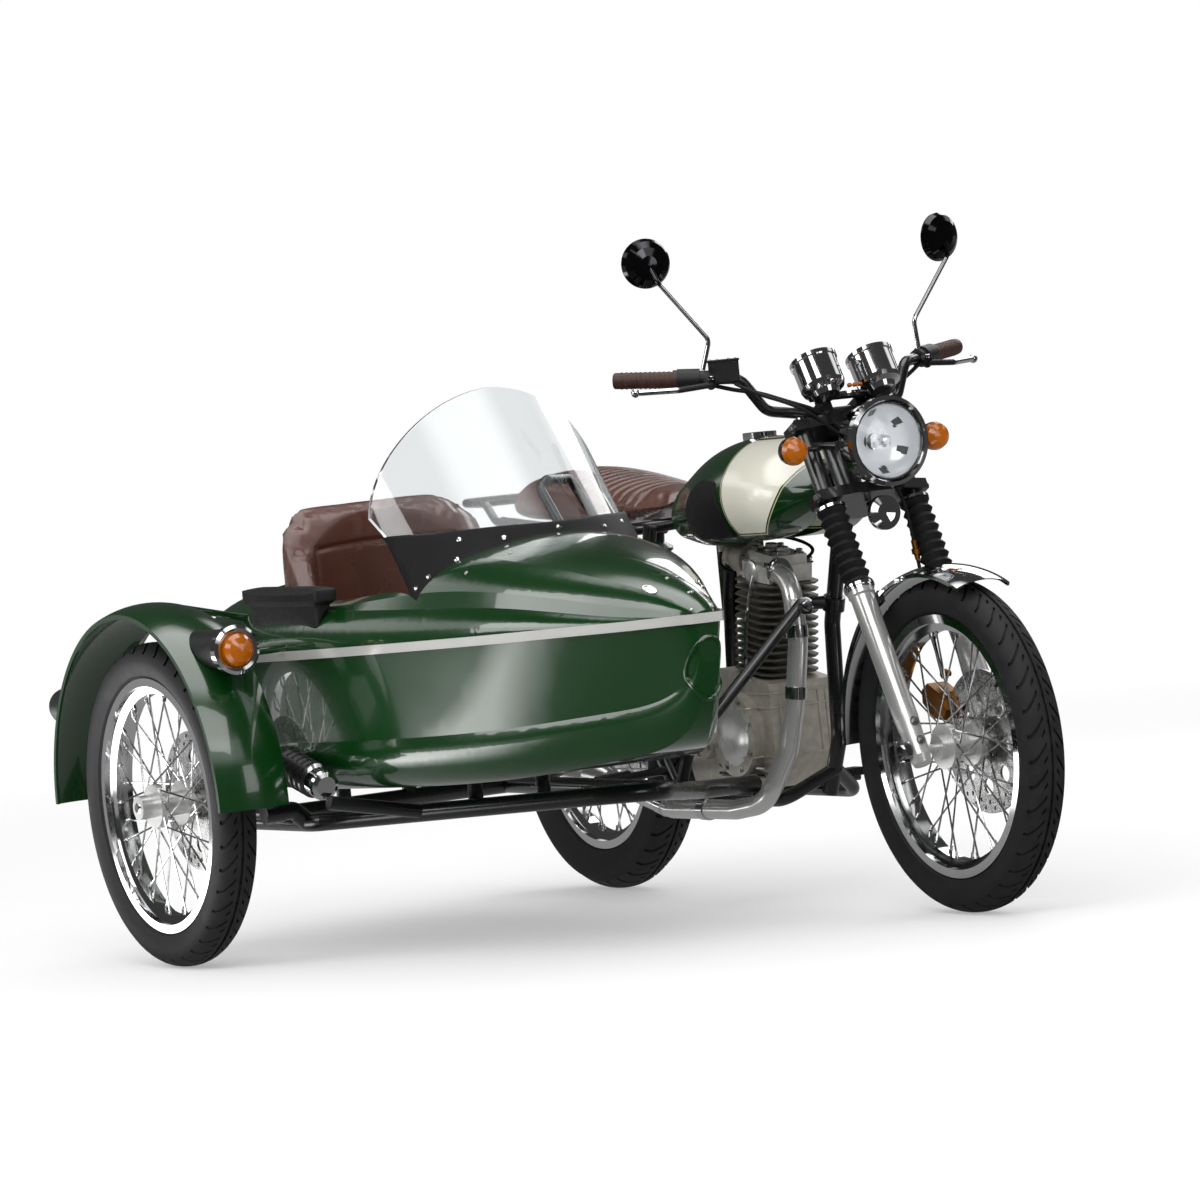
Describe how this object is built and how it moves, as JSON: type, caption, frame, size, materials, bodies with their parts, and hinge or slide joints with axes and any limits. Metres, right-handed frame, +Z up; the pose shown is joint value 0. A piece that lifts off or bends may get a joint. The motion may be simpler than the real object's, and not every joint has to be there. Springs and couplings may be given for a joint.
{
  "type": "motorcycle with sidecar",
  "caption": "Classic single-cylinder motorcycle with a steered fork, turning wheels and a boat-nosed passenger sidecar on a tubular chassis.",
  "frame": {"origin": "middle of the bounding box on the ground", "axes": "+Z up, +Y towards the rear of the vehicle, +X to the rider's left"},
  "size_m": [1.639, 2.093, 1.3501],
  "materials": {
    "rubber_tread": "matte",
    "chrome": "polished",
    "alloy": "satin",
    "disc_steel": "brushed",
    "caliper_gold": "satin",
    "black_paint": "gloss",
    "green_paint": "gloss",
    "black_rubber": "matte",
    "brown_leather": "satin",
    "brown_grip": "matte",
    "screen": "clear",
    "lens": "clear",
    "amber_lamp": "gloss",
    "red_lamp": "gloss",
    "chain_steel": "oiled"
  },
  "bodies": {
    "chassis": {"armrest_pad": "black_rubber", "bike_seat": "brown_leather", "carburettor": "alloy", "cowl_coaming": "black_rubber", "drive_chain": "chain_steel", "engine_cases": "alloy", "engine_cylinder": "alloy", "exhaust": "chrome", "fuel_tank": "green_paint", "grab_handle": "black_paint", "knee_pads": "black_rubber", "luggage_rack": "black_paint", "main_frame": "black_paint", "rear_dampers": "black_paint", "rear_fender": "chrome", "rear_lamps": "red_lamp", "rear_swingarm": "black_paint", "side_covers": "green_paint", "sidecar_arm": "black_paint", "sidecar_chassis": "black_paint", "sidecar_deck": "green_paint", "sidecar_hull": "green_paint", "sidecar_lamps": "amber_lamp", "sidecar_mudguard": "green_paint", "sidecar_seat_back": "brown_leather", "sidecar_seat_cushion": "brown_leather", "sidecar_spring_unit": "black_paint", "tank_cap": "chrome", "waist_trim": "chrome", "windscreen": "screen"},
    "fork": {"fork_sliders": "alloy", "fork_gaiters": "black_rubber", "fork_crown": "black_paint", "handlebar": "black_paint", "grips": "brown_grip", "hand_controls": "chrome", "mirrors": "chrome", "headlamp": "chrome", "headlamp_lens": "lens", "front_indicators": "amber_lamp", "instruments": "chrome", "horn": "chrome", "front_caliper": "caliper_gold", "front_fender": "chrome"},
    "front_wheel": {"front_tyre": "rubber_tread", "front_rim": "chrome", "front_hub": "alloy", "front_disc": "disc_steel"},
    "rear_wheel": {"rear_tyre": "rubber_tread", "rear_rim": "chrome", "rear_hub": "alloy"},
    "sidecar_wheel": {"sidecar_tyre": "rubber_tread", "sidecar_rim": "chrome", "sidecar_hub": "alloy", "sidecar_disc": "disc_steel"}
  },
  "joints": [
    {"name": "steering", "type": "hinge", "parent": "chassis", "child": "fork", "pos_m": [0.41547, -0.3952, 0.84522], "axis": [0, 0.454, 0.891], "range_deg": [-35, 35]},
    {"name": "front_wheel_spin", "type": "hinge", "parent": "fork", "child": "front_wheel", "pos_m": [0.41547, -0.7225, 0.324], "axis": [1, 0, 0], "continuous": true},
    {"name": "rear_wheel_spin", "type": "hinge", "parent": "chassis", "child": "rear_wheel", "pos_m": [0.41547, 0.6775, 0.328], "axis": [1, 0, 0], "continuous": true},
    {"name": "sidecar_wheel_spin", "type": "hinge", "parent": "chassis", "child": "sidecar_wheel", "pos_m": [-0.74453, 0.3825, 0.324], "axis": [1, 0, 0], "continuous": true}
  ]
}
